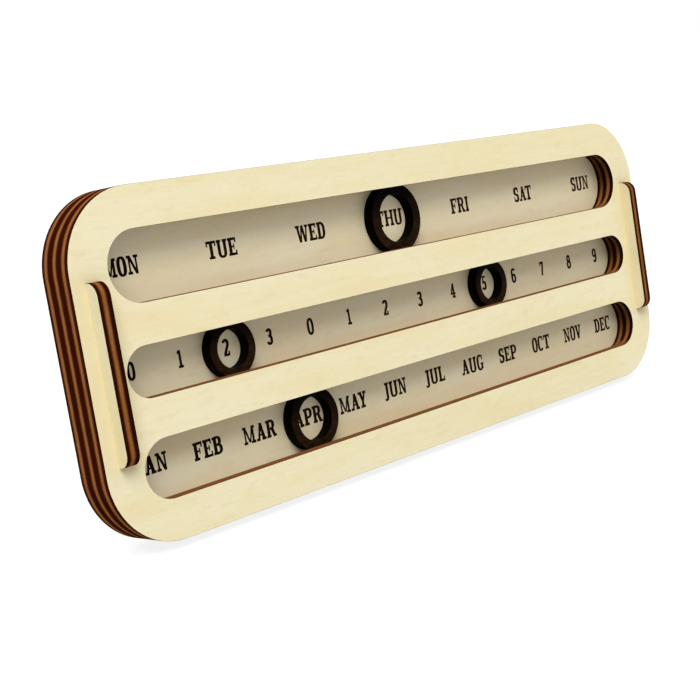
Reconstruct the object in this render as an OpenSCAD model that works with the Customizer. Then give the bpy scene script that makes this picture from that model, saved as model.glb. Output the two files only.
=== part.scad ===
// Perpetual desk calendar. Three plywood sheets make a flat board with three long windows, for the
// weekday, the date and the month. The middle sheet is cut a little wider behind each window, so loose
// rings slide there along the rows behind the lip of the front sheet. A plywood key through both ends
// lines the sheets up, and two legs behind the board hold it at a slant.
//
// X runs along the rows, +Z is up and the face looks towards -Y. The origin lies on the desk, under the
// middle of the calendar's footprint. Lengths are in millimetres and angles in degrees.

/* [Board] */
// Length of the three sheets
board_w = 200; // [170:1:260]
// Thickness of one plywood sheet
sheet = 3.2; // [2.6:0.1:5]
// Corner radius of the sheets
corner_r = 17; // [8:0.5:25]
// Wood above the top window and below the bottom window
rim = 9.1; // [6:0.1:16]
// Wood between two windows
bar = 8.7; // [8.4:0.1:14]
// Angle by which the board leans back from upright
lean = 13; // [6:0.5:22]

/* [Windows] */
// Height of the weekday window
weekday_h = 15.4; // [12:0.1:20]
// Height of the date window
date_h = 11; // [9:0.1:12]
// Height of the month window
month_h = 13; // [10:0.1:18]
// Width of the lip that the front sheet has over the channels of the middle sheet
lip = 1.2; // [0.8:0.1:1.4]

/* [Rings] */
// Width of the weekday ring's wall
weekday_wall = 2.6; // [1.6:0.05:3.5]
// Width of the wall of both date rings
date_wall = 2.05; // [1.4:0.05:2.8]
// Width of the month ring's wall
month_wall = 2.25; // [1.4:0.05:3.2]
// Play between a ring and each side of its channel
ring_side_play = 0.2; // [0.1:0.05:0.4]
// Play between a ring and the sheet in front of it, and the sheet behind it
ring_face_play = 0.1; // [0.05:0.05:0.3]

/* [Reading] */
// Weekday that is marked, from 1 for Monday to 7 for Sunday
weekday = 4; // [1:1:7]
// Tens of the date
tens = 2; // [0:1:3]
// Units of the date
units = 5; // [0:1:9]
// Month that is marked
month = 4; // [1:1:12]
// How far the rings stand to the left of the marks' centres
ring_offset = 0.65; // [0:0.05:1.5]

/* [Keys] */
// Height of the keys along the board
key_h = 38; // [24:0.5:46]
// How far the keys stand out of the board's face and back
key_proud = 3.4; // [3.1:0.1:6]
// Radius of the keys' corners
key_r = 3; // [0.5:0.1:3]
// Wood between a key and the end of the board
key_edge = 3.5; // [3:0.1:8]
// Wood between a key and the ends of the channels
key_wall = 1.5; // [1:0.1:4]

/* [Legs] */
// Distance between the two legs
leg_spread = 100; // [60:1:140]
// How far the legs reach behind the board on the desk
leg_reach = 40; // [32:0.5:60]
// Height at which a leg starts on the board, along it from its lower edge
leg_low = 5; // [3:0.5:12]
// Wood of a leg above its upper tab
leg_crown = 7; // [3:0.5:12]
// Depth of a leg at its top and where it starts above the desk
leg_neck = 5; // [3:0.5:8]
// Length of a leg's foot on the desk
foot_l = 9; // [6:0.5:14]
// Height of a leg's heel
heel_h = 7; // [5:0.5:12]
// Depth of the hollow curve along a leg's slope
slope_hollow = 5; // [1:0.5:7]
// Rise of the arch under a leg
arch_rise = 6; // [2:0.5:9]
// Radius of the legs' corners
leg_r = 1.5; // [0.5:0.1:2]
// Height of the tabs that plug the legs into the back sheet
tab_h = 5; // [3:0.1:5.4]

/* [Fits] */
// Play on each side of a key or tab in its slot
slot_play = 0.1; // [0.05:0.05:0.2]

/* [Hidden] */
$fn = 96;
through = 1; // extra depth of a cut beyond each face

thickness = 3 * sheet;
board_h = 2 * (rim + bar) + weekday_h + date_h + month_h;
end_rim = key_edge + sheet + key_wall + lip;
window_w = board_w - 2 * end_rim;
key_x = board_w / 2 - key_edge - sheet / 2;
key_depth = thickness + 2 * key_proud;

// Centres of the rows and of the bars between them, above the board's middle
weekday_y = board_h / 2 - rim - weekday_h / 2;
date_y = weekday_y - weekday_h / 2 - bar - date_h / 2;
month_y = date_y - date_h / 2 - bar - month_h / 2;
upper_bar_y = weekday_y - weekday_h / 2 - bar / 2;
lower_bar_y = date_y - date_h / 2 - bar / 2;
ROWS = [[weekday_y, weekday_h], [date_y, date_h], [month_y, month_h]];
TABS = [lower_bar_y, upper_bar_y]; // heights of a leg's two tabs
leg_top_y = upper_bar_y + tab_h / 2 + leg_crown;

// Marks stand in equal steps between the centres of a window's round ends
WEEKDAYS = 7;
DATE_MARKS = 14; // 0 to 3 for the tens, then 0 to 9 for the units
FIRST_UNIT = 4;
MONTHS = 12;
ring_t = sheet - 2 * ring_face_play;

// Place of the board: its lower back edge rests on the desk
edge_y = -board_h / 2 * sin(lean) + thickness * cos(lean);
key_nose_y = -(key_h / 2 - key_r) * sin(lean) - (key_proud - key_r) * cos(lean) - key_r;
front_y = min(-board_h / 2 * sin(lean), key_nose_y);
back_y = max(edge_y + leg_reach, edge_y + board_h * sin(lean));
board_y = -(front_y + back_y) / 2;
board_z = board_h / 2 * cos(lean) + thickness * sin(lean);

// Moves a shape from the board's own frame (x along it, y up it, z out of its face) to its slant
module leaned() {
    translate([0, board_y, board_z]) rotate([90 - lean, 0, 0]) children();
}

module rounded_rectangle(w, h, r) {
    square([w - 2 * r, h], center = true);
    square([w, h - 2 * r], center = true);
    for (x = [-1, 1], y = [-1, 1])
        translate([x * (w / 2 - r), y * (h / 2 - r)]) circle(r);
}

module stadium(w, h) {
    square([w - h, h], center = true);
    for (x = [-1, 1]) translate([x * (w - h) / 2, 0]) circle(h / 2);
}

// The three long openings, each grown by a margin all round
module row_openings(margin) {
    for (row = ROWS)
        translate([0, row[0]]) stadium(window_w + 2 * margin, row[1] + 2 * margin);
}

module key_slots() {
    for (x = [-1, 1])
        translate([x * key_x, 0]) square([sheet + 2 * slot_play, key_h + 2 * slot_play], center = true);
}

module tab_slots() {
    for (x = [-1, 1], y = TABS)
        translate([x * leg_spread / 2, y])
            square([sheet + 2 * slot_play, tab_h + 2 * slot_play], center = true);
}

// One sheet of the board, counted from the front, with its cuts given as flat children
module board_sheet(number) {
    leaned() difference() {
        translate([0, 0, -number * sheet]) linear_extrude(sheet)
            rounded_rectangle(board_w, board_h, corner_r);
        translate([0, 0, -number * sheet - through]) linear_extrude(sheet + 2 * through) children();
    }
}

module front_board() {
    color([0.93, 0.88, 0.71]) board_sheet(1) {
        row_openings(0);
        key_slots();
    }
}

module middle_board() {
    color([0.85, 0.72, 0.52]) board_sheet(2) {
        row_openings(lip);
        key_slots();
    }
}

module back_board() {
    color([0.88, 0.82, 0.66]) board_sheet(3) {
        key_slots();
        tab_slots();
    }
}

// A key is a rounded sheet on edge, through all three sheets of the board
module key(side) {
    color([0.92, 0.86, 0.67]) leaned()
        translate([side * key_x, 0, -thickness / 2]) rotate([0, 90, 0]) linear_extrude(sheet, center = true)
            rounded_rectangle(key_depth, key_h, key_r);
}

function unit(v) = v / norm(v);

// Points of the round corner of radius r at b, on the way from a to c with the wood on the right
function corner(a, b, c, r, steps = 8) =
    let (
        u = unit(a - b),
        w = unit(c - b),
        half = acos(u * w) / 2,
        centre = b + unit(u + w) * r / sin(half),
        first = b + u * r / tan(half) - centre,
        start = atan2(first.y, first.x),
        sweep = 2 * half - 180
    )
    [for (i = [0:steps]) centre + r * [cos(start + sweep * i / steps), sin(start + sweep * i / steps)]];

// Points of the arc from a to b that bends into the wood on the right by depth
function hollow(a, b, depth, steps = 16) =
    let (
        span = norm(b - a),
        way = (b - a) / span,
        r = (span * span / 4 + depth * depth) / (2 * depth),
        centre = (a + b) / 2 + [-way.y, way.x] * (r - depth),
        start = atan2(a.y - centre.y, a.x - centre.x),
        sweep = 2 * asin(span / 2 / r)
    )
    [for (i = [0:steps]) centre + r * [cos(start + sweep * i / steps), sin(start + sweep * i / steps)]];

// A point of a leg, seen along -x from the board's lower back edge: behind the board's back by depth,
// at height y in the board's own frame
function at_board(depth, y) =
    let (up = y + board_h / 2)
    [depth * cos(lean) + up * sin(lean), up * cos(lean) - depth * sin(lean)];

// A leg's outline: up the board with its tabs, down the hollow slope to the heel, and under the arch
module leg_outline() {
    low_y = leg_low - board_h / 2;
    crown = at_board(leg_neck, leg_top_y);
    heel_top = [leg_reach, heel_h];
    heel = [leg_reach, 0];
    toe = [leg_reach - foot_l, 0];
    slope = hollow(crown, heel_top, slope_hollow);
    arch = hollow(toe, at_board(leg_neck, low_y), arch_rise);
    last = len(slope) - 1;
    polygon(concat(
        [at_board(0, low_y)],
        [for (y = TABS, end = [[0, -1], [-sheet, -1], [-sheet, 1], [0, 1]])
            at_board(end[0], y + end[1] * tab_h / 2)],
        [at_board(0, leg_top_y)],
        corner(at_board(0, leg_top_y), crown, slope[1], leg_r),
        [for (i = [1:last - 1]) slope[i]],
        corner(slope[last - 1], heel_top, heel, leg_r),
        corner(heel_top, heel, toe, leg_r),
        arch
    ));
}

module leg(side) {
    color([0.92, 0.86, 0.67])
        translate([side * leg_spread / 2, board_y + edge_y, 0])
            rotate([90, 0, 90]) linear_extrude(sheet, center = true) leg_outline();
}

// Place along a row of mark number i, counted from 0, and of the ring that marks it
function mark_x(row_h, marks, i) = (window_w - row_h) * (i / (marks - 1) - 1 / 2);
function ring_x(row_h, marks, i) = max(mark_x(row_h, marks, 0), mark_x(row_h, marks, i) - ring_offset);

module ring(x, y, row_h, wall) {
    r = row_h / 2 + lip - ring_side_play;
    color([0.16, 0.12, 0.1]) leaned()
        translate([x, y, -sheet - ring_face_play - ring_t]) difference() {
            cylinder(r = r, h = ring_t);
            translate([0, 0, -through]) cylinder(r = r - wall, h = ring_t + 2 * through);
        }
}

module weekday_ring() {
    ring(ring_x(weekday_h, WEEKDAYS, weekday - 1), weekday_y, weekday_h, weekday_wall);
}

module tens_ring() {
    ring(ring_x(date_h, DATE_MARKS, tens), date_y, date_h, date_wall);
}

module units_ring() {
    ring(ring_x(date_h, DATE_MARKS, FIRST_UNIT + units), date_y, date_h, date_wall);
}

module month_ring() {
    ring(ring_x(month_h, MONTHS, month - 1), month_y, month_h, month_wall);
}

front_board();
middle_board();
back_board();
key(-1);  // left_key
key(1);  // right_key
leg(-1);  // left_leg
leg(1);  // right_leg
weekday_ring();
tens_ring();
units_ring();
month_ring();
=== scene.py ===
"""The looks of the perpetual desk calendar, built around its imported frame.

Every piece is cut by laser from a sheet: a flat outline with a thickness. The boards, keys and legs are
birch plywood, with pale veneer on their faces and burnt plies on their cut edges. The back board carries
the engraved weekdays, digits and months, which show through the windows, and dark rings slide over them.

Outlines are in millimetres, in a sheet's own frame: x and y along its faces, z through its thickness
from the middle of the sheet. Blender's objects are in metres, in the frame's own axes.
"""

import math

import bpy
from mathutils import Matrix, Vector
from mathutils.geometry import delaunay_2d_cdt


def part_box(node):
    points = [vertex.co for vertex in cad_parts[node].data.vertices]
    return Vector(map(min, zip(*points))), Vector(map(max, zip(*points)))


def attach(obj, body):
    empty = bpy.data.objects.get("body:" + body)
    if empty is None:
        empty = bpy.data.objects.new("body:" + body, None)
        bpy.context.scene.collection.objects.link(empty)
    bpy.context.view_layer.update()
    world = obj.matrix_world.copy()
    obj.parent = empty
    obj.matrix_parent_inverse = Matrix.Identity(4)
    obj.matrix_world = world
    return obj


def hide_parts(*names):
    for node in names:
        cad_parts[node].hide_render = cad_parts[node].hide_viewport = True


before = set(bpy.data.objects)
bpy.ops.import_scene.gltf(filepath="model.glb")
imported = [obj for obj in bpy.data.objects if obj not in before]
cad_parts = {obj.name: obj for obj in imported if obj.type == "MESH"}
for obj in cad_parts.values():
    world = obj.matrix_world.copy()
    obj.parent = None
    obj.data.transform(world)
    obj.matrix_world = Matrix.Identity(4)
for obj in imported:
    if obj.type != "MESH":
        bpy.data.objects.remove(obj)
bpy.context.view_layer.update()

MM = 0.001

# ---------------------------------------------------------------- sizes, in millimetres and degrees

SHEET = 3.2
LEAN = 13
CORNER_R = 17
RIM = 9.1
BAR = 8.7
LIP = 1.2
WEEKDAY_H = 15.4
DATE_H = 11
MONTH_H = 13

WEEKDAY_WALL = 2.6
DATE_WALL = 2.05
MONTH_WALL = 2.25

KEY_H = 38
KEY_PROUD = 3.4
KEY_R = 3
KEY_EDGE = 3.5
KEY_WALL = 1.5
SLOT_PLAY = 0.01

LEG_SPREAD = 100
LEG_REACH = 40
LEG_LOW = 5
LEG_CROWN = 7
LEG_NECK = 5
FOOT_L = 9
HEEL_H = 7
SLOPE_HOLLOW = 5
ARCH_RISE = 6
LEG_R = 1.5
TAB_H = 5

CHAMFER = 0.04
GLUE_GROOVE = 0.05  # depth of the groove at a glue line
GLUE_HALF_W = 0.07
ENGRAVING = 0.25
LETTER_H = 4.05
DIGIT_H = 3.9
MARKS_SHIFT = (-0.15, 0.22)  # how far the marks stand off their rows' even steps

BOARD_W = (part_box("front_board")[1].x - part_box("front_board")[0].x) / MM
THICKNESS = 3 * SHEET
BOARD_H = 2 * (RIM + BAR) + WEEKDAY_H + DATE_H + MONTH_H
WINDOW_W = BOARD_W - 2 * (KEY_EDGE + SHEET + KEY_WALL + LIP)
WEEKDAY_Y = BOARD_H / 2 - RIM - WEEKDAY_H / 2
DATE_Y = WEEKDAY_Y - WEEKDAY_H / 2 - BAR - DATE_H / 2
MONTH_Y = DATE_Y - DATE_H / 2 - BAR - MONTH_H / 2
UPPER_BAR_Y = WEEKDAY_Y - WEEKDAY_H / 2 - BAR / 2
LOWER_BAR_Y = DATE_Y - DATE_H / 2 - BAR / 2
ROWS = [(WEEKDAY_Y, WEEKDAY_H), (DATE_Y, DATE_H), (MONTH_Y, MONTH_H)]
TABS = [LOWER_BAR_Y, UPPER_BAR_Y]

# ---------------------------------------------------------------- places


def box_centre(node):
    lo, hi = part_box(node)
    return (lo + hi) / 2


LEANED = Matrix.Rotation(math.radians(90 - LEAN), 4, "X")
BOARD_OUT = LEANED.to_3x3() @ Vector((0, 0, 1))
FACE_CENTRE = box_centre("front_board") + BOARD_OUT * SHEET / 2 * MM
# A sheet on edge: its own x runs up the board or leg, its y forwards and its z along the rows
ON_EDGE = Matrix(((0, 0, 1, 0), (0, -1, 0, 0), (1, 0, 0, 0), (0, 0, 0, 1)))


def board_point(x, y, z):
    """A point given in the board's frame, from the middle of its face, in metres in the frame's axes."""
    return FACE_CENTRE + LEANED.to_3x3() @ Vector((x, y, z)) * MM


# ---------------------------------------------------------------- outlines


def arc(cx, cy, r, start, end, steps=24):
    angles = [math.radians(start + (end - start) * i / steps) for i in range(steps + 1)]
    return [(cx + r * math.cos(a), cy + r * math.sin(a)) for a in angles]


def rounded_rectangle(w, h, r):
    """Anticlockwise outline of a rectangle with round corners."""
    x, y = w / 2 - r, h / 2 - r
    corners = [(x, y, 0), (-x, y, 90), (-x, -y, 180), (x, -y, 270)]
    return [p for cx, cy, start in corners for p in arc(cx, cy, r, start, start + 90)]


def rectangle(w, h, cx, cy):
    x, y = w / 2, h / 2
    return [(cx + x, cy + y), (cx - x, cy + y), (cx - x, cy - y), (cx + x, cy - y)]


def stadium(w, h, cy, steps=40):
    x = (w - h) / 2
    return arc(x, cy, h / 2, -90, 90, steps) + arc(-x, cy, h / 2, 90, 270, steps)


def row_openings(margin):
    return [stadium(WINDOW_W + 2 * margin, h + 2 * margin, y) for y, h in ROWS]


def key_slots():
    x = BOARD_W / 2 - KEY_EDGE - SHEET / 2
    return [rectangle(SHEET + 2 * SLOT_PLAY, KEY_H + 2 * SLOT_PLAY, side * x, 0) for side in (-1, 1)]


def tab_slots():
    w, h = SHEET + 2 * SLOT_PLAY, TAB_H + 2 * SLOT_PLAY
    return [rectangle(w, h, side * LEG_SPREAD / 2, y) for side in (-1, 1) for y in TABS]


def circle(r, steps=128):
    return arc(0, 0, r, 0, 360 * (steps - 1) / steps, steps - 1)


# The legs' outline is built as in the part's source. It is seen along -x, with the wood on its right.


def round_corner(a, b, c, r, steps=10):
    """Round corner of radius r at b, on the way from a to c with the wood on the right."""
    a, b, c = Vector(a), Vector(b), Vector(c)
    u = (a - b).normalized()
    w = (c - b).normalized()
    half = math.acos(u.dot(w)) / 2
    centre = b + (u + w).normalized() * r / math.sin(half)
    first = b + u * r / math.tan(half) - centre
    start = math.degrees(math.atan2(first.y, first.x))
    return arc(centre.x, centre.y, r, start, start + math.degrees(2 * half) - 180, steps)


def hollow(a, b, depth, steps=28):
    """Arc from a to b that bends into the wood on the right by depth."""
    a, b = Vector(a), Vector(b)
    span = (b - a).length
    way = (b - a) / span
    r = (span * span / 4 + depth * depth) / (2 * depth)
    centre = (a + b) / 2 + Vector((-way.y, way.x)) * (r - depth)
    start = math.degrees(math.atan2(a.y - centre.y, a.x - centre.x))
    return arc(centre.x, centre.y, r, start, start + 2 * math.degrees(math.asin(span / 2 / r)), steps)


def at_board(depth, y):
    """A leg's point behind the board's back by depth and at height y along the board."""
    lean = math.radians(LEAN)
    up = y + BOARD_H / 2
    return (depth * math.cos(lean) + up * math.sin(lean), up * math.cos(lean) - depth * math.sin(lean))


def leg_outline():
    """A leg with its tabs and foot, as points (up, forwards) from the board's lower back edge."""
    top_y = UPPER_BAR_Y + TAB_H / 2 + LEG_CROWN
    low_y = LEG_LOW - BOARD_H / 2
    crown = at_board(LEG_NECK, top_y)
    heel_top = (LEG_REACH, HEEL_H)
    heel = (LEG_REACH, 0)
    toe = (LEG_REACH - FOOT_L, 0)
    slope = hollow(crown, heel_top, SLOPE_HOLLOW)
    path = [at_board(0, low_y)]
    for y in TABS:
        for depth, end in ((0, -1), (-SHEET, -1), (-SHEET, 1), (0, 1)):
            path.append(at_board(depth, y + end * TAB_H / 2))
    path.append(at_board(0, top_y))
    path += round_corner(at_board(0, top_y), crown, slope[1], LEG_R)
    path += slope[1:-1]
    path += round_corner(slope[-2], heel_top, heel, LEG_R)
    path += round_corner(heel_top, heel, toe, LEG_R)
    path += hollow(toe, at_board(LEG_NECK, low_y), ARCH_RISE)
    return [(up, -back) for back, up in path]


# ---------------------------------------------------------------- engraved marks
# Letters are 100 units high. Each is its width and the shapes that make it up.

CAP = 100
STEM = 22
THIN = 15
SLAB = 15
GAP = 5
LETTER_NIB = (10.8, 7.0)
S_NIB = (12.2, 8.2)
DIGIT_NIB = (10.3, 8.6)
ZERO_NIB = (9.6, 8.2)
SQUARENESS = 0.78  # 1 makes an ellipse, and less makes it squarer
OVERLAP = 6
LOBE_START = 20
KERNING = {"AT": -9, "AY": -9, "OV": -4}
J_DESCENT = 15


def bar(x0, x1, y0=0, y1=CAP):
    return [(x0, y0), (x1, y0), (x1, y1), (x0, y1)]


def foot(x0, x1):
    return bar(x0, x1, 0, SLAB)


def head(x0, x1):
    return bar(x0, x1, CAP - SLAB, CAP)


def slant(x0, x1, w, y0=0, y1=CAP):
    """A stroke of width w from x0 at height y0 to x1 at height y1, cut level at both ends."""
    return [(x0, y0), (x0 + w, y0), (x1 + w, y1), (x1, y1)]


def bowl(cx, cy, rx, ry, start, end, steps=18):
    """Path along an oval that is a little squarer than an ellipse."""
    path = []
    for i in range(steps + 1):
        a = math.radians(start + (end - start) * i / steps)
        c, s = math.cos(a), math.sin(a)
        x = cx + rx * math.copysign(abs(c) ** SQUARENESS, c)
        path.append((x, cy + ry * math.copysign(abs(s) ** SQUARENESS, s)))
    return path


def pen(path, nib=LETTER_NIB):
    """Outline of a stroke drawn along a path with an upright oval nib."""
    left, right = [], []
    for i, (x, y) in enumerate(path):
        before, after = path[max(i - 1, 0)], path[min(i + 1, len(path) - 1)]
        dx, dy = after[0] - before[0], after[1] - before[1]
        length = math.hypot(dx, dy)
        nx, ny = -dy / length, dx / length
        half = math.hypot(nib[0] * nx, nib[1] * ny)
        left.append((x + nx * half, y + ny * half))
        right.append((x - nx * half, y - ny * half))
    return left + right[::-1]


def oval(cx, cy, rx, ry, nib=LETTER_NIB):
    """A closed oval stroke, in two halves that overlap a little."""
    return [
        pen(bowl(cx, cy, rx, ry, start - OVERLAP, start + 180 + OVERLAP), nib) for start in (0, 180)
    ]


def lobe(cx, cy, rx, ry):
    """A half oval on the right of a stem, joined to it at the top and the bottom."""
    return pen([(LOBE_START, cy + ry)] + bowl(cx, cy, rx, ry, 90, -90) + [(LOBE_START, cy - ry)])


LEFT_STEM = bar(6, 6 + STEM)
LETTERS = {
    "A": (74, [slant(9, 31, THIN), slant(47, 27, STEM), bar(18, 56, 27, 37), foot(0, 28),
               foot(41, 74)]),
    "B": (65, [LEFT_STEM, foot(0, 32), head(0, 32), lobe(28, 74, 23, 20.5), lobe(28, 29.5, 27.5, 24)]),
    "C": (62, [pen(bowl(31, 50, 21.5, 46.5, 48, 318)), bar(49, 59, 66, 98)]),
    "D": (65, [LEFT_STEM, foot(0, 32), head(0, 32), lobe(26, 50, 29.5, 44.5)]),
    "E": (62, [LEFT_STEM, foot(0, 62), head(0, 60), bar(52, 62, 0, 29), bar(50, 60, 71, 100),
               bar(20, 45, 45, 55), bar(38, 46, 35, 65)]),
    "F": (63, [LEFT_STEM, foot(0, 38), head(0, 63), bar(53, 63, 69, 100), bar(20, 46, 45, 55),
               bar(39, 47, 34, 66)]),
    "G": (67, [pen(bowl(31, 50, 21.5, 46.5, 48, 322)), bar(49, 59, 66, 98), bar(43, 61, 6, 46),
               bar(35, 67, 37, 47)]),
    "H": (80, [LEFT_STEM, bar(54, 74), foot(0, 32), head(0, 32), foot(48, 80), head(48, 80),
               bar(20, 60, 45, 55)]),
    "I": (32, [LEFT_STEM, foot(0, 32), head(0, 32)]),
    "J": (42, [pen([(25, 100), (25, 10)] + bowl(11, 8, 14, 15, 0, -110)), head(6, 42),
               bar(0, 9, -12, 4)]),
    "L": (60, [LEFT_STEM, head(0, 33), foot(0, 60), bar(50, 60, 0, 31)]),
    "M": (88, [bar(8, 20), bar(64, 80), slant(38, 10, 13, 8), slant(41, 65, 11, 8), foot(0, 29),
               foot(55, 88), head(0, 26), head(63, 88)]),
    "N": (74, [bar(9, 21), bar(53, 65), slant(48, 8, 17), foot(0, 30), head(0, 24), head(44, 74)]),
    "O": (59, oval(29.5, 50, 20, 46.5)),
    "P": (65, [LEFT_STEM, foot(0, 38), head(0, 32), lobe(30, 70, 25.5, 24.5)]),
    "R": (74, [LEFT_STEM, foot(0, 33), head(0, 32), lobe(30, 72, 24, 22.5),
               slant(48, 32, STEM, 0, 50), foot(48, 74)]),
    "S": (56, [pen(bowl(28, 72.5, 16.5, 21, 28, 238) + bowl(28, 27.5, 17.5, 21, 58, -152), S_NIB),
               bar(42, 52, 65, 98), bar(4, 14, 2, 35)]),
    "T": (69, [bar(23.5, 45.5), foot(14, 55), head(0, 69), bar(0, 10, 70, 100), bar(59, 69, 70, 100)]),
    "U": (75, [pen([(16, 100)] + bowl(37, 30, 21, 26, 180, 360) + [(58, 100)]), head(0, 32),
               head(43, 75)]),
    "V": (70, [slant(26, 6, STEM), slant(31, 54, THIN), head(0, 33), head(44, 70)]),
    "W": (99, [slant(22, 7, 18), slant(29, 43, 12), slant(60, 43, 18), slant(67, 82, 12),
               head(0, 33), head(73, 99)]),
    "Y": (68, [slant(25, 5, STEM, 44), slant(32, 49, THIN, 44), bar(25, 45, 0, 52), foot(15, 55),
               head(0, 32), head(40, 68)]),
}
DIGITS = {
    "0": (49, oval(24.5, 50, 18, 44.5, ZERO_NIB)),
    "1": (46, [bar(16, 33), foot(7, 42), [(8, 79), (17, 82), (25, 100), (15, 100), (8, 92)]]),
    "2": (48, [pen(bowl(23, 72.5, 15, 19.5, 168, -35) + [(12, 13), (11, 5)], DIGIT_NIB),
               bar(2, 47, 0, 14), bar(35, 47, 0, 27)]),
    "3": (47, [pen(bowl(22, 74, 13.5, 18, 164, -90), DIGIT_NIB),
               pen(bowl(22, 30.5, 15.5, 22, 90, -164), DIGIT_NIB), bar(14, 24, 48, 62)]),
    "4": (50, [bar(22, 40), slant(0, 23, 14, 30), bar(0, 50, 24, 37), foot(16, 48)]),
    "5": (46, [bar(7, 20, 45, 98), bar(7, 42, 85, 100),
               pen(bowl(22, 32, 16, 24, 130, -157), DIGIT_NIB)]),
    "6": (48, oval(24, 30, 17, 24.5, DIGIT_NIB)
          + [pen([(7.5, 30)] + bowl(24, 60, 16.5, 34.5, 180, 38), DIGIT_NIB)]),
    "7": (46, [bar(1, 46, 83, 100), bar(1, 13, 68, 100), slant(11, 27, 20, 0, 96)]),
    "8": (48, oval(24, 74.5, 13.5, 18.5, ZERO_NIB) + oval(24, 29, 17, 23, DIGIT_NIB)),
    "9": (48, oval(24, 70, 17, 24.5, DIGIT_NIB)
          + [pen([(40.5, 70)] + bowl(24, 40, 16.5, 34.5, 0, -142), DIGIT_NIB)]),
}

WEEKDAYS = ["MON", "TUE", "WED", "THU", "FRI", "SAT", "SUN"]
DATE_MARKS = "0123" + "0123456789"
MONTHS = ["JAN", "FEB", "MAR", "APR", "MAY", "JUN", "JUL", "AUG", "SEP", "OCT", "NOV", "DEC"]


def word_shapes(word, glyphs, cx, cy, height):
    """The shapes of a word of the given cap height, centred at a point."""
    scale = height / CAP
    starts, x = [], 0
    for i, letter in enumerate(word):
        starts.append(x)
        x += glyphs[letter][0] + GAP + KERNING.get(word[i:i + 2], 0)
    left = cx - (x - GAP) / 2 * scale
    descent = J_DESCENT if "J" in word else 0
    low = cy - (CAP - descent) / 2 * scale
    return [
        [(left + (start + px) * scale, low + py * scale) for px, py in shape]
        for letter, start in zip(word, starts)
        for shape in glyphs[letter][1]
    ]


def row_shapes(words, glyphs, height, row):
    """The marks of one row, in equal steps between the centres of its window's round ends."""
    y, h = row
    step = (WINDOW_W - h) / (len(words) - 1)
    first = MARKS_SHIFT[0] - (WINDOW_W - h) / 2
    return [
        shape
        for i, word in enumerate(words)
        for shape in word_shapes(word, glyphs, first + i * step, y + MARKS_SHIFT[1], height)
    ]


def all_marks():
    return (
        row_shapes(WEEKDAYS, LETTERS, LETTER_H, ROWS[0])
        + row_shapes(DATE_MARKS, DIGITS, DIGIT_H, ROWS[1])
        + row_shapes(MONTHS, LETTERS, LETTER_H, ROWS[2])
    )


# ---------------------------------------------------------------- sheets as meshes

FACE_SLOT, EDGE_SLOT, HOLE_SLOT, CHAR_SLOT = 0, 1, 2, 3
SHARP_ANGLE = 28
SLOT_CORNERS = 4  # a slot for a key or tab is filled by it, so its rim is left sharp
SAME_POINT = 1e-4
CUT_TOLERANCE = 1e-5
INSIDE_TRIANGLES = 1  # the kind of result that delaunay_2d_cdt gives


def area(outline):
    following = outline[1:] + outline[:1]
    return sum(x0 * y1 - x1 * y0 for (x0, y0), (x1, y1) in zip(outline, following)) / 2


def anticlockwise(corners, points):
    """Numbers of an outline's points, turned round where they run clockwise."""
    return corners if area([points[i] for i in corners]) > 0 else corners[::-1]


def without_repeats(outline):
    return [p for i, p in enumerate(outline) if math.dist(p, outline[i - 1]) > SAME_POINT]


def moved_in(outline, distance):
    """The outline moved by a distance into the wood, which lies on its left."""
    moved = []
    for i, here in enumerate(outline):
        before, after = Vector(outline[i - 1]), Vector(outline[(i + 1) % len(outline)])
        here = Vector(here)
        a = (here - before).normalized()
        b = (after - here).normalized()
        normal = Vector((-a.y - b.y, a.x + b.x)).normalized()
        cosine = normal.dot(Vector((-a.y, a.x)))
        moved.append(tuple(here + normal * distance / cosine))
    return moved


def edge_profile(thickness, chamfer):
    """Heights and insets down a cut edge: a chamfer at both faces and a groove at each glue line."""
    half, glue = thickness / 2, thickness / 6
    upper = [
        (half, chamfer),
        (half - CHAMFER, 0),
        (glue + GLUE_HALF_W, 0),
        (glue, GLUE_GROOVE),
        (glue - GLUE_HALF_W, 0),
    ]
    return upper + [(-z, inset) for z, inset in reversed(upper)]


def add_object(name, data):
    thing = bpy.data.objects.new(name, data)
    bpy.context.scene.collection.objects.link(thing)
    return thing


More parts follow.
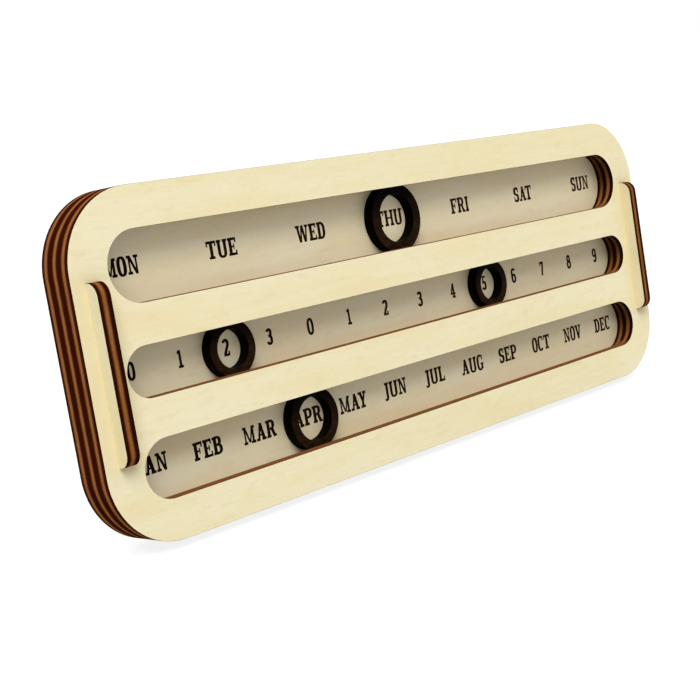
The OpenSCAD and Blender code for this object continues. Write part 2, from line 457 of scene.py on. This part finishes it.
class Sheet:
    """The closed mesh of one piece, with the grooves of three plies along its cut edges."""

    def __init__(self):
        self.points = []
        self.faces = []
        self.slots = []

    def point(self, x, y, z):
        self.points.append((x, y, z))
        return len(self.points) - 1

    def face(self, corners, slot):
        self.faces.append(corners)
        self.slots.append(slot)

    def edge(self, outline, thickness, slot):
        """The cut edge along one outline. Returns its first and last rows of points."""
        chamfer = 0 if len(outline) == SLOT_CORNERS else CHAMFER
        rows = [
            [self.point(x, y, z) for x, y in moved_in(outline, inset)]
            for z, inset in edge_profile(thickness, chamfer)
        ]
        for upper, lower in zip(rows, rows[1:]):
            for i in range(len(outline)):
                self.face([upper[i - 1], lower[i - 1], lower[i], upper[i]], slot)
        return rows[0], rows[-1]

    def cap(self, rims, up, marks=()):
        """The flat face between the rims, with the marks sunk into it."""
        corners = [i for rim in rims for i in rim]
        flat = [self.points[i][:2] for i in corners]
        areas, start = [], 0
        for rim in rims:
            areas.append(anticlockwise(list(range(start, start + len(rim))), flat))
            start += len(rim)
        for mark in marks:
            first = len(flat)
            flat += mark
            areas.append(anticlockwise(list(range(first, len(flat))), flat))
        corners_2d = [Vector(p) for p in flat]
        result = delaunay_2d_cdt(corners_2d, [], areas, INSIDE_TRIANGLES, CUT_TOLERANCE)
        places, _, triangles, sources, _, owners = result
        height = self.points[corners[0]][2]
        top, bottom = {}, {}

        def on_face(i):
            if i not in top:
                known = [s for s in sources[i] if s < len(corners)]
                top[i] = corners[known[0]] if known else self.point(*places[i], height)
            return top[i]

        def sunk(i):
            if i not in bottom:
                bottom[i] = self.point(*places[i], height - ENGRAVING)
            return bottom[i]

        rising = set()
        for triangle, owned in zip(triangles, owners):
            if 0 not in owned or any(0 < area_number < len(rims) for area_number in owned):
                continue
            a, b, c = (places[i] for i in triangle)
            if ((b - a).cross(c - a) > 0) != up:
                triangle = triangle[::-1]
            if any(area_number >= len(rims) for area_number in owned):
                self.face([sunk(i) for i in triangle], CHAR_SLOT)
                for i in range(3):
                    way = (triangle[i - 1], triangle[i])
                    if way[::-1] in rising:
                        rising.remove(way[::-1])
                    else:
                        rising.add(way)
            else:
                self.face([on_face(i) for i in triangle], FACE_SLOT)
        for a, b in sorted(rising):
            self.face([on_face(a), on_face(b), sunk(b), sunk(a)], CHAR_SLOT)

    def build(self, name, place, materials):
        mesh = bpy.data.meshes.new(name)
        mesh.from_pydata([Vector(p) * MM for p in self.points], [], self.faces)
        for material in materials:
            mesh.materials.append(material)
        mesh.polygons.foreach_set("material_index", self.slots)
        mesh.shade_smooth()
        mesh.set_sharp_from_angle(angle=math.radians(SHARP_ANGLE))
        mesh.validate()
        piece = add_object(name, mesh)
        piece.matrix_world = place
        return piece


def plywood(name, place, materials, outline, holes=(), marks=(), thickness=SHEET):
    """One laser-cut piece: an outline with holes and a thickness."""
    outlines = [outline] + list(holes)
    rims_up, rims_down = [], []
    sheet = Sheet()
    for number, points in enumerate(outlines):
        points = without_repeats(points)
        if (area(points) > 0) != (number == 0):
            points.reverse()
        slot = HOLE_SLOT if number and len(materials) > HOLE_SLOT else EDGE_SLOT
        first, last = sheet.edge(points, thickness, slot)
        rims_up.append(first)
        rims_down.append(last)
    sheet.cap(rims_up, True, marks)
    sheet.cap(rims_down, False)
    return sheet.build(name, place, materials)


# ---------------------------------------------------------------- colours and grain


def srgb(r, g, b):
    """A colour from 0 to 255 as linear values with full opacity."""

    def linear(c):
        c /= 255
        return c / 12.92 if c <= 0.04045 else ((c + 0.055) / 1.055) ** 2.4

    return (linear(r), linear(g), linear(b), 1)


BLACK = (0, 0, 0, 1)
WHITE = (1, 1, 1, 1)

BIRCH = srgb(239, 230, 194)
BIRCH_WARM = srgb(237, 223, 178)
BIRCH_SHADE = srgb(224, 204, 156)
BACK_BIRCH = srgb(240, 230, 198)
BACK_WARM = srgb(237, 220, 180)
KEY_BIRCH = srgb(232, 225, 190)
KEY_WARM = srgb(230, 217, 174)

# Painted shade: the boards' faces in a strip round each key slot are darkened towards this colour
KEY_SLOT_PAINTED_SHADE_COLOUR = srgb(222, 207, 163)
KEY_SLOT_PAINTED_SHADE = 0.5  # how much painted shade darkens the wood round the slots of the keys
KEY_SLOT_SHADE_WIDTH = 5
KEY_SLOT_SHADE_INSET = 1

PLY_DARK = srgb(56, 17, 4)
PLY_LIGHT = srgb(157, 99, 56)
PLY_GOLD = srgb(148, 104, 54)
KEY_PLY_DARK = srgb(40, 12, 4)
KEY_PLY_LIGHT = srgb(146, 86, 44)
# The walls of the windows: a darker copy of the plies, as painted shade in the recess
WINDOW_PLY_DARK = srgb(30, 9, 3)
WINDOW_PLY_LIGHT = srgb(158, 100, 55)
SCORCH = srgb(50, 18, 6)
# Heights of the colours on a cut edge, as shares of the sheet's thickness
PLY_STOPS = [0.20, 0.30, 0.37, 0.56, 0.63, 0.73]
PLY_TURN = 0.35  # how light the burnt plies are where they meet the middle one
PLY_WOBBLE = 0.015
GOLD_STOPS = [(0.33, BLACK), (0.40, WHITE), (0.53, WHITE), (0.60, BLACK)]

# Painted shade and painted light in the windows: their walls darken towards this colour, and the walls
# that face up the board, as if lit from above, are painted lighter and evenly brown
WINDOW_PAINTED_SHADE_COLOUR = srgb(6, 3, 2)
WINDOW_PAINTED_SHADE = 0.55
WINDOW_SHADE_TURN = (-0.2, 0.9)  # how much a wall faces up the board, where it gets the painted shade and where it does not
UPWARD_WALL_PAINTED_LIGHT = srgb(130, 83, 46)
UPWARD_WALL_LIGHT_TURN = (0.82, 1.0, 0.8)  # the same where the painted light on walls facing up the board begins and where it is full, and how strong it gets

CHAR = srgb(16, 6, 3)
CHAR_BROWN = srgb(68, 37, 23)
CHAR_SPREAD = (-90, 80)  # the marks turn from black to brown between these places along the rows
CHAR_FADE = 0.9
PASS_SPREAD = (0.35, 0.70, -0.1, 0.1)  # the little that the passes of the laser add to that

STAIN_DARK = srgb(14, 8, 3)
STAIN_LIGHT = srgb(64, 40, 21)
# The dark of the rings' burnt edges, also the colour towards which painted shade darkens a ring's top
BURNT_AND_PAINTED_SHADE_DARK = srgb(2, 1, 1)
BURNT_LIGHT = srgb(12, 7, 5)
RING_TOP_PAINTED_SHADE = (-3.5, 5.8, 0.96)  # the heights on a ring between which painted shade darkens it towards its top, and how far

# Each noise has its waves per millimetre along x, y and z, a number to add to the piece's seed, its
# detail, its roughness and its distortion
NOISES = {
    "bands": ((0.02, 0.16, 0), 0, 2, 0.5, 0.8),
    "patches": ((0.09, 0.28, 0), 3, 4, 0.65, 0.6),
    "blotches": ((0.16, 0.55, 0), 5, 3, 0.6, 0.8),
    "fibres": ((0.10, 3.2, 0.4), 7, 4, 0.65, 0),
    "flecks": ((0.35, 2.4, 0.4), 11, 2, 0.5, 0),
    "pores": ((0.9, 9.0, 0.4), 17, 1, 0.4, 0),
    "wobble": ((0.3, 0.3, 0), 0, 2, 0.55, 0),
    "streaks": ((3.2, 3.2, 0.25), 5, 3, 0.6, 0),
    "scorch": ((0.16, 0.16, 0.1), 9, 2, 0.55, 0),
    "cut_fibres": ((1.2, 1.2, 9), 13, 3, 0.6, 0),
    "gold": ((0.07, 0.07, 0.07), 21, 2, 0.55, 0),
    "passes": ((0.5, 9.0, 0), 2, 2, 0.55, 0),
    "soot_and_painted_shade": ((1.6, 1.6, 0), 6, 3, 0.55, 0),
    "ring_fibres": ((0.3, 4.0, 4.0), 0, 4, 0.65, 0),
    "ring_clouds": ((0.3, 0.5, 0.5), 4, 2, 0.55, 0),
    "mottle": ((0.02, 0.02, 0.02), 1, 3, 0.55, 0),
}
NOISE_LOW, NOISE_HIGH = 0.3, 0.7  # most of a noise lies between these
# The values of a noise between which its colour comes in, and how strong the colour gets
FADES = {
    "bands": (0.35, 0.68, 1),
    "patches": (0.50, 0.68, 0.7),
    "blotches": (0.54, 0.70, 0.30),
    "fibres": (0.44, 0.72, 0.16),
    "flecks": (0.60, 0.74, 0.30),
    "pores": (0.66, 0.78, 0.25),
    "streaks": (0.40, 0.75, 0.18),
    "scorch": (0.45, 0.75, 0.25),
    "gold": (0.42, 0.62, 0.7),
    "soot_and_painted_shade": (0.45, 0.75, 0.3),
    "ring_fibres": (0.35, 0.70, 1),
    "ring_clouds": (0.38, 0.68, 0.7),
}
WARM_GRAIN = ("bands", "patches")
SHADE_GRAIN = ("blotches", "fibres", "flecks", "pores")
BUMPS = {  # how high the grain stands, in millimetres
    "fibres": 0.03,
    "pores": -0.02,
    "streaks": 0.05,
    "cut_fibres": 0.02,
    "passes": 0.04,
    "ring_fibres": 0.03,
}

# Least and most roughness of each surface, and how much it mirrors
VENEER_ROUGH, VENEER_SHINE = (0.46, 0.60), 0.2
PLY_ROUGH, PLY_SHINE = (0.42, 0.58), 0
CHAR_ROUGH, CHAR_SHINE = (0.7, 0.85), 0.03
STAIN_ROUGH, STAIN_SHINE = (0.38, 0.52), 0.012

# ---------------------------------------------------------------- materials


def feed(tree, socket, value):
    """Links a socket to another node's output, or sets it to a plain value."""
    if isinstance(value, bpy.types.NodeSocket):
        tree.links.new(value, socket)
    else:
        socket.default_value = value


def add_node(tree, kind, inputs, **settings):
    node = tree.nodes.new("ShaderNode" + kind)
    for name, value in settings.items():
        setattr(node, name, value)
    for key, value in inputs.items():
        feed(tree, node.inputs[key], value)
    return node


def seen_rays(tree):
    """1 for rays that see a surface directly, in a mirror or through glass, and 0 for the rest."""
    ray = add_node(tree, "LightPath", {}).outputs
    rays = ray["Is Camera Ray"]
    for other in ("Is Glossy Ray", "Is Transmission Ray"):
        rays = add_node(tree, "Math", {0: rays, 1: ray[other]}, operation="MAXIMUM").outputs[0]
    return rays


class Shader:
    """A material's node tree, with short calls for its nodes. Textures take lengths in millimetres."""

    def __init__(self, name):
        self.material = bpy.data.materials.new(name)
        self.material.use_nodes = True
        self.tree = self.material.node_tree
        self.surface = self.tree.nodes["Principled BSDF"]
        source = self.node("TexCoord", {}).outputs
        self.place = self.scaled(source["Object"], (1 / MM, 1 / MM, 1 / MM))
        self.normal = source["Normal"]

    def node(self, kind, inputs, **settings):
        return add_node(self.tree, kind, inputs, **settings)

    def scaled(self, vector, factors):
        return self.node("VectorMath", {0: vector, 1: factors}, operation="MULTIPLY").outputs[0]

    def along(self, axis, vector):
        return self.node("SeparateXYZ", {"Vector": vector}).outputs[axis]

    def noise(self, kind, seed=0):
        stretch, added, detail, roughness, distortion = NOISES[kind]
        inputs = {
            "Vector": self.scaled(self.place, stretch),
            "W": seed + added,
            "Scale": 1,
            "Detail": detail,
            "Roughness": roughness,
            "Distortion": distortion,
        }
        return self.node("TexNoise", inputs, noise_dimensions="4D").outputs["Fac"]

    def spread(self, value, low, high, to_low=0, to_high=1):
        inputs = {"Value": value, "From Min": low, "From Max": high, "To Min": to_low, "To Max": to_high}
        return self.node("MapRange", inputs).outputs[0]

    def between(self, noise, low, high):
        """A noise moved to a range of other values."""
        return self.spread(noise, NOISE_LOW, NOISE_HIGH, low, high)

    def maths(self, operation, a, b=0.0):
        return self.node("Math", {0: a, 1: b}, operation=operation).outputs[0]

    def mix(self, factor, a, b):
        """Colour a where the factor is 0, and colour b where it is 1."""
        return self.node("Mix", {0: factor, 6: a, 7: b}, data_type="RGBA").outputs[2]

    def fade(self, value, low, high, most):
        """0 where a value is low, and the most where it is high."""
        return self.spread(value, low, high, 0, most)

    def tint(self, colour, other, value, low, high, most):
        """A colour that turns to another as it fades in."""
        return self.mix(self.fade(value, low, high, most), colour, other)

    def ramp(self, value, stops):
        node = self.node("ValToRGB", {"Fac": value})
        elements = node.color_ramp.elements
        while len(elements) < len(stops):
            elements.new(0.5)
        for element, (position, colour) in zip(elements, stops):
            element.position = position
            element.color = colour
        return node.outputs["Color"]

    def bump(self, noises, *kinds):
        """The normal of a surface on which noises of these kinds stand."""
        normal = None
        for kind in kinds:
            inputs = {"Height": noises[kind], "Distance": BUMPS[kind] * MM, "Strength": 1}
            if normal:
                inputs["Normal"] = normal
            normal = self.node("Bump", inputs).outputs["Normal"]
        return normal

    def finish(self, colour, rough, normal, shine):
        names = ("Base Color", "Roughness", "Normal", "Specular IOR Level")
        for name, value in zip(names, (colour, rough, normal, shine)):
            feed(self.tree, self.surface.inputs[name], value)
        return self.material


def birch_veneer(name, seed, base, warm, key_slot_shade=0.0):
    """Pale rotary-cut birch with its grain along x: soft bands, fine fibres, short flecks and pores.

    This argument sets how much painted shade darkens the wood round the slots of the keys.
    """
    s = Shader(name)
    noises = {kind: s.noise(kind, seed) for kind in WARM_GRAIN + SHADE_GRAIN}
    colour = base
    for kinds, other in ((WARM_GRAIN, warm), (SHADE_GRAIN, BIRCH_SHADE)):
        for kind in kinds:
            colour = s.tint(colour, other, noises[kind], *FADES[kind])
    # Painted shade round the key slots, darkest next to each slot
    if key_slot_shade:
        x = s.maths("ABSOLUTE", s.along("X", s.place))
        y = s.maths("ABSOLUTE", s.along("Y", s.place))
        slot = BOARD_W / 2 - KEY_EDGE - SHEET
        across = s.spread(x, slot - KEY_SLOT_SHADE_WIDTH, slot, 0, key_slot_shade)
        along = s.spread(y, KEY_H / 2 - KEY_SLOT_SHADE_INSET, KEY_H / 2 + KEY_SLOT_SHADE_WIDTH, 1, 0)
        colour = s.mix(s.maths("MULTIPLY", across, along), colour, KEY_SLOT_PAINTED_SHADE_COLOUR)
    rough = s.between(noises["fibres"], *VENEER_ROUGH)
    return s.finish(colour, rough, s.bump(noises, "fibres", "pores"), VENEER_SHINE)


def burnt_plies(name, seed, dark, light, soot_and_painted_shade=0.0):
    """A laser-cut edge: charred outer plies and an orange-brown middle ply, with upright burn streaks.

    Painted shade darkens the walls of a window, and the walls that face up the board get painted light,
    lighter and evenly brown.
    """
    s = Shader(name)
    kinds = ("wobble", "streaks", "scorch", "cut_fibres", "gold")
    noises = {kind: s.noise(kind, seed) for kind in kinds}
    height = s.spread(s.along("Z", s.place), -SHEET / 2, SHEET / 2)
    height = s.maths("ADD", height, s.between(noises["wobble"], -PLY_WOBBLE, PLY_WOBBLE))
    turn = tuple(d + (l - d) * PLY_TURN for d, l in zip(dark, light))
    colour = s.ramp(height, list(zip(PLY_STOPS, [dark, turn, light, light, turn, dark])))
    gold = s.maths("MULTIPLY", s.fade(noises["gold"], *FADES["gold"]), s.ramp(height, GOLD_STOPS))
    colour = s.mix(gold, colour, PLY_GOLD)
    for kind in ("streaks", "scorch"):
        colour = s.tint(colour, SCORCH, noises[kind], *FADES[kind])
    # Painted shade on the walls of a window, and painted light on those that face up the board
    if soot_and_painted_shade:
        facing_up = s.along("Y", s.normal)
        colour = s.mix(s.spread(facing_up, *WINDOW_SHADE_TURN, soot_and_painted_shade, 0), colour, WINDOW_PAINTED_SHADE_COLOUR)
        colour = s.tint(colour, UPWARD_WALL_PAINTED_LIGHT, facing_up, *UPWARD_WALL_LIGHT_TURN)
    rough = s.between(noises["streaks"], *PLY_ROUGH)
    return s.finish(colour, rough, s.bump(noises, "streaks", "cut_fibres"), PLY_SHINE)


def engraved_char(name):
    """The engraved marks: charred wood with the laser's fine level lines, browner to the right."""
    s = Shader(name)
    noises = {kind: s.noise(kind) for kind in ("passes", "soot_and_painted_shade")}
    burn = s.fade(s.along("X", s.place), *CHAR_SPREAD, CHAR_FADE)
    burn = s.maths("ADD", burn, s.spread(noises["passes"], *PASS_SPREAD))
    colour = s.mix(burn, CHAR, CHAR_BROWN)
    colour = s.tint(colour, CHAR, noises["soot_and_painted_shade"], *FADES["soot_and_painted_shade"])
    rough = s.between(noises["soot_and_painted_shade"], *CHAR_ROUGH)
    return s.finish(colour, rough, s.bump(noises, "passes"), CHAR_SHINE)


def stained_wood(name, seed, dark, light):
    """Wood stained almost black, with painted shade darkening it towards its top, and faint brown
    streaks of grain.
    """
    s = Shader(name)
    noises = {kind: s.noise(kind, seed) for kind in ("ring_fibres", "ring_clouds")}
    colour = s.tint(dark, light, noises["ring_fibres"], *FADES["ring_fibres"])
    colour = s.tint(colour, dark, noises["ring_clouds"], *FADES["ring_clouds"])
    # Painted shade: darker towards the ring's top, where the window's lip shades it
    colour = s.tint(colour, BURNT_AND_PAINTED_SHADE_DARK, s.along("Y", s.place), *RING_TOP_PAINTED_SHADE)
    rough = s.between(noises["ring_fibres"], *STAIN_ROUGH)
    return s.finish(colour, rough, s.bump(noises, "ring_fibres"), STAIN_SHINE)


# ---------------------------------------------------------------- pieces

# Seeds of the grain. The four rings share theirs, and the other pieces differ.
BOARD_SEED_STEP = 20
WINDOW_SEED = 5
KEY_SEEDS = {"left_key": 70, "right_key": 79}
LEG_SEEDS = {"left_leg": 100, "right_leg": 109}
RING_FACE_SEED = 3
RING_EDGE_SEED = 8

RING_WALLS = {"weekday": WEEKDAY_WALL, "tens": DATE_WALL, "units": DATE_WALL, "month": MONTH_WALL}


def dress(piece, node, body):
    """Rides a piece on its body in place of its plain CAD node."""
    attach(piece, body)
    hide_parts(node)


def make_boards():
    char = engraved_char("engraved_char")
    outline = rounded_rectangle(BOARD_W, BOARD_H, CORNER_R)
    boards = [
        ("front_board", row_openings(0) + key_slots(), (), BIRCH, BIRCH_WARM),
        ("middle_board", row_openings(LIP) + key_slots(), (), BIRCH, BIRCH_WARM),
        ("back_board", key_slots() + tab_slots(), all_marks(), BACK_BIRCH, BACK_WARM),
    ]
    for number, (node, holes, marks, base, warm) in enumerate(boards):
        seed = number * BOARD_SEED_STEP
        veneer = birch_veneer(node + "_veneer", seed, base, warm, KEY_SLOT_PAINTED_SHADE)
        plies = burnt_plies(node + "_plies", seed, PLY_DARK, PLY_LIGHT)
        # The walls of the windows carry painted shade, and painted light where they face up the board
        name = node + "_window_plies_painted_shade"
        shaded_window_plies = burnt_plies(name, seed + WINDOW_SEED, WINDOW_PLY_DARK, WINDOW_PLY_LIGHT, WINDOW_PAINTED_SHADE)
        place = Matrix.Translation(box_centre(node)) @ LEANED
        piece = plywood(node + "_wood", place, [veneer, plies, shaded_window_plies, char], outline, holes, marks)
        dress(piece, node, "board")


def make_on_edge(node, seed, place, outline, dark, light):
    """A key or a leg, with the dark and light colours of its plies."""
    veneer = birch_veneer(node + "_veneer", seed, KEY_BIRCH, KEY_WARM)
    plies = burnt_plies(node + "_plies", seed, dark, light)
    piece = plywood(node + "_wood", place @ ON_EDGE, [veneer, plies], outline)
    dress(piece, node, "board")


def make_keys():
    outline = rounded_rectangle(KEY_H, THICKNESS + 2 * KEY_PROUD, KEY_R)
    for node, seed in KEY_SEEDS.items():
        place = Matrix.Translation(box_centre(node)) @ Matrix.Rotation(math.radians(-LEAN), 4, "X")
        make_on_edge(node, seed, place, outline, KEY_PLY_DARK, KEY_PLY_LIGHT)


def make_legs():
    outline = leg_outline()
    edge = board_point(0, -BOARD_H / 2, -THICKNESS)
    for node, seed in LEG_SEEDS.items():
        place = Matrix.Translation((box_centre(node).x, edge.y, 0))
        make_on_edge(node, seed, place, outline, PLY_DARK, PLY_LIGHT)


def make_rings():
    top = stained_wood("ring_face", RING_FACE_SEED, STAIN_DARK, STAIN_LIGHT)
    side = stained_wood("ring_edge", RING_EDGE_SEED, BURNT_AND_PAINTED_SHADE_DARK, BURNT_LIGHT)
    lean = math.radians(LEAN)
    for name, wall in RING_WALLS.items():
        node = name + "_ring"
        lo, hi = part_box(node)
        radius = (hi.x - lo.x) / 2 / MM
        thickness = ((hi.z - lo.z) / MM - 2 * radius * math.cos(lean)) / math.sin(lean)
        place = Matrix.Translation(box_centre(node)) @ LEANED
        outline, hole = circle(radius), circle(radius - wall)
        ring = plywood(node + "_wood", place, [top, side], outline, [hole], thickness=thickness)
        dress(ring, node, name + "_slider")


# ---------------------------------------------------------------- stage, light and camera

# The camera's place and aim, in millimetres in the board's frame, and its roll in degrees
EYE = (-243.1, 26.4, 224.6)
AIM = (-27.4, -8.0, 0)
ROLL = -0.067
LENS = 67.88
CLIP_START = 0.01

FLOOR_R = 3.0  # in metres
FLOOR_STEPS = 96
FLOOR_COLOUR = 0.6
FLOOR_MOTTLE = 0.01
FLOOR_SEEN_COLOUR = 0.22
FLOOR_GLOW = 0.86

WORLD_LIGHT = 0.44
LAMP_SIZE = 1.9  # in metres
LAMPS = {  # each lamp's place in metres and its power in watts
    "soft_box_above": ((-1.20, -1.19, 2.80), 93.0),
    "soft_box_behind": ((1.98, 2.31, 1.29), 64.0),
}


def make_floor():
    """A pale round floor. The camera sees it almost white, with the object's shadow on it."""
    s = Shader("pale_floor")
    mottle = s.between(s.noise("mottle"), FLOOR_COLOUR - FLOOR_MOTTLE, FLOOR_COLOUR + FLOOR_MOTTLE)
    plain = s.node("BsdfDiffuse", {"Color": mottle})
    dim = s.node("BsdfDiffuse", {"Color": (FLOOR_SEEN_COLOUR,) * 3 + (1,)})
    glow = s.node("Emission", {"Color": WHITE, "Strength": FLOOR_GLOW})
    seen = s.node("AddShader", {0: dim.outputs[0], 1: glow.outputs[0]})
    either = s.node("MixShader", {0: seen_rays(s.tree), 1: plain.outputs[0], 2: seen.outputs[0]})
    feed(s.tree, s.tree.nodes["Material Output"].inputs["Surface"], either.outputs[0])
    s.tree.nodes.remove(s.surface)
    mesh = bpy.data.meshes.new("floor")
    rim = [(x, y, 0) for x, y in circle(FLOOR_R, FLOOR_STEPS)]
    mesh.from_pydata(rim, [], [list(range(FLOOR_STEPS))])
    mesh.materials.append(s.material)
    floor = add_object("floor", mesh)


def make_world():
    """Soft light from all round, seen as plain white."""
    world = bpy.data.worlds.new("studio")
    bpy.context.scene.world = world
    world.use_nodes = True
    tree = world.node_tree
    tree.nodes.clear()
    light = add_node(tree, "Background", {"Color": WHITE, "Strength": WORLD_LIGHT})
    white = add_node(tree, "Background", {"Color": WHITE, "Strength": 1})
    mix = add_node(tree, "MixShader", {0: seen_rays(tree), 1: light.outputs[0], 2: white.outputs[0]})
    add_node(tree, "OutputWorld", {"Surface": mix.outputs[0]})


def make_lamp(name, place, power):
    """A large square soft lamp that faces the object."""
    lamp = bpy.data.lights.new(name, "AREA")
    lamp.shape = "SQUARE"
    lamp.size = LAMP_SIZE
    lamp.energy = power
    holder = add_object(name, lamp)
    holder.location = place
    holder.rotation_euler = (FACE_CENTRE - Vector(place)).to_track_quat("-Z", "Y").to_euler()


def make_camera():
    """The camera at the photograph's viewing angle."""
    data = bpy.data.cameras.new("camera")
    data.lens = LENS
    data.clip_start = CLIP_START
    camera = add_object("camera", data)
    eye = board_point(*EYE)
    look = (board_point(*AIM) - eye).to_track_quat("-Z", "Y").to_matrix().to_4x4()
    camera.matrix_world = Matrix.Translation(eye) @ look @ Matrix.Rotation(math.radians(ROLL), 4, "Z")
    bpy.context.scene.camera = camera


make_camera()
make_boards()
make_keys()
make_legs()
make_rings()
make_floor()
make_world()
for name, (place, power) in LAMPS.items():
    make_lamp(name, place, power)
bpy.context.scene.view_settings.view_transform = "Standard"
